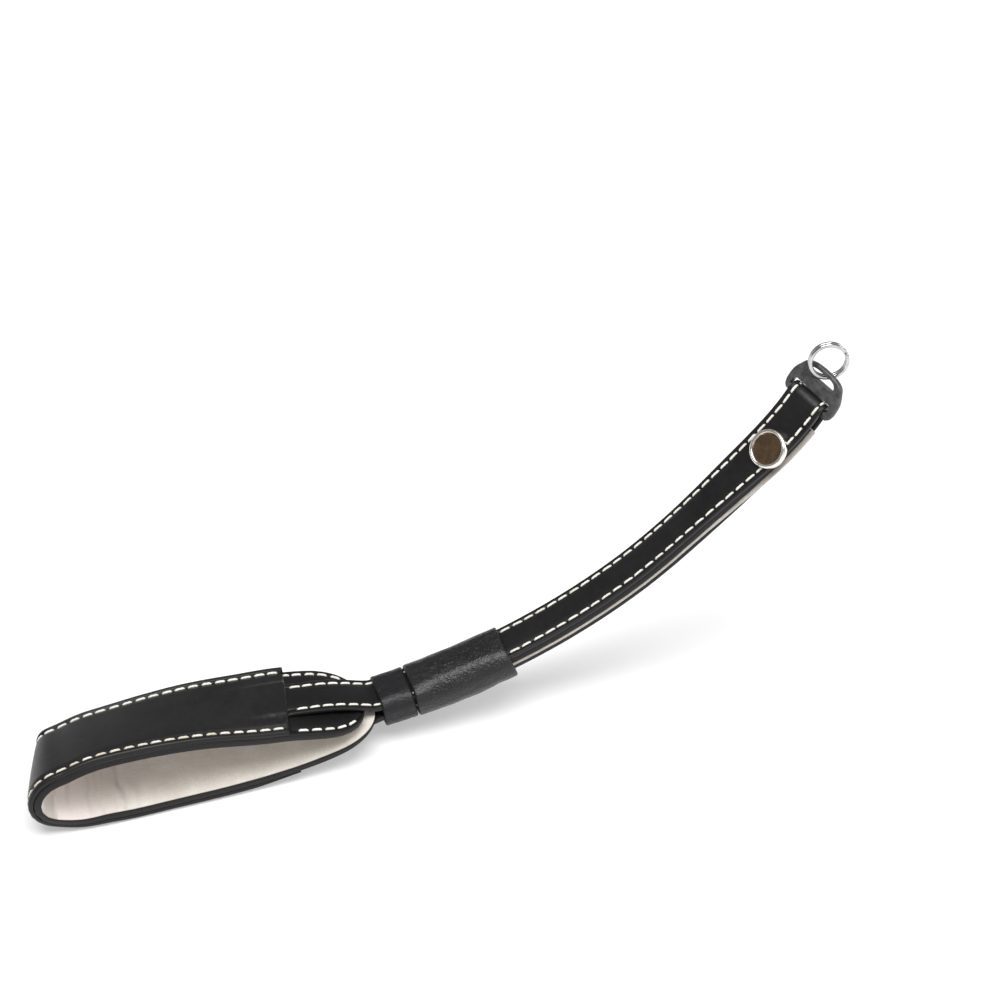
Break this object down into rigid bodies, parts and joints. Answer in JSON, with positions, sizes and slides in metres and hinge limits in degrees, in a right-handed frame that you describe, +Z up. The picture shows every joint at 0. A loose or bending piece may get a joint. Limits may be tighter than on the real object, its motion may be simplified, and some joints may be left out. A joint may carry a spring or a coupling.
{
  "type": "camera hand grip strap",
  "caption": "Stitched leather hand strap: a wide lined hand loop, a narrow folded strap with a keeper and a sliding sleeve, an end link and a split ring.",
  "frame": {"origin": "centre of the split ring, which goes through the camera's strap lug and holds this end up", "axes": "+Z up, +X along the strap in plan from the hand loop towards the ring, +Y away from the side on which the loop's mouth is wider"},
  "size_m": [0.2147, 0.0244, 0.0954],
  "materials": {
    "cover_leather": "smooth, semi-gloss",
    "backing_leather": "matte",
    "suede_lining": "napped",
    "strap_leather": "smooth, semi-gloss",
    "sleeve_leather": "grained, glossy",
    "thread": "waxed",
    "polished_steel": "polished",
    "link_plastic": "satin"
  },
  "bodies": {
    "strap": {"loop_cover": "cover_leather", "loop_backing": "backing_leather", "loop_lining": "suede_lining", "loop_thread_near": "thread", "loop_thread_far": "thread", "strap_leather": "strap_leather", "strap_lining_upper": "backing_leather", "strap_lining_lower": "suede_lining", "strap_thread_near": "thread", "strap_thread_far": "thread", "fixed_keeper": "sleeve_leather", "rivet_cap": "polished_steel", "rivet_post": "polished_steel", "rivet_back": "polished_steel"},
    "sleeve": {"sliding_sleeve": "sleeve_leather"},
    "link": {"end_link": "link_plastic"},
    "ring": {"split_ring": "polished_steel"}
  },
  "joints": [
    {"name": "sleeve_slide", "type": "hinge", "parent": "strap", "child": "sleeve", "pos_m": [-0.13231, -0.00089, 0.06543], "axis": [0, -1, 0], "range_deg": [0, 13]},
    {"name": "link_swing", "type": "hinge", "parent": "strap", "child": "link", "pos_m": [-0.00504, -0.00089, -0.01054], "axis": [0.3932, -0.891, -0.227], "range_deg": [-80, 80]},
    {"name": "ring_swing", "type": "hinge", "parent": "link", "child": "ring", "pos_m": [-0.00078, -0.00103, -0.00261], "axis": [0.3932, -0.891, -0.227], "range_deg": [-34, 34]}
  ]
}
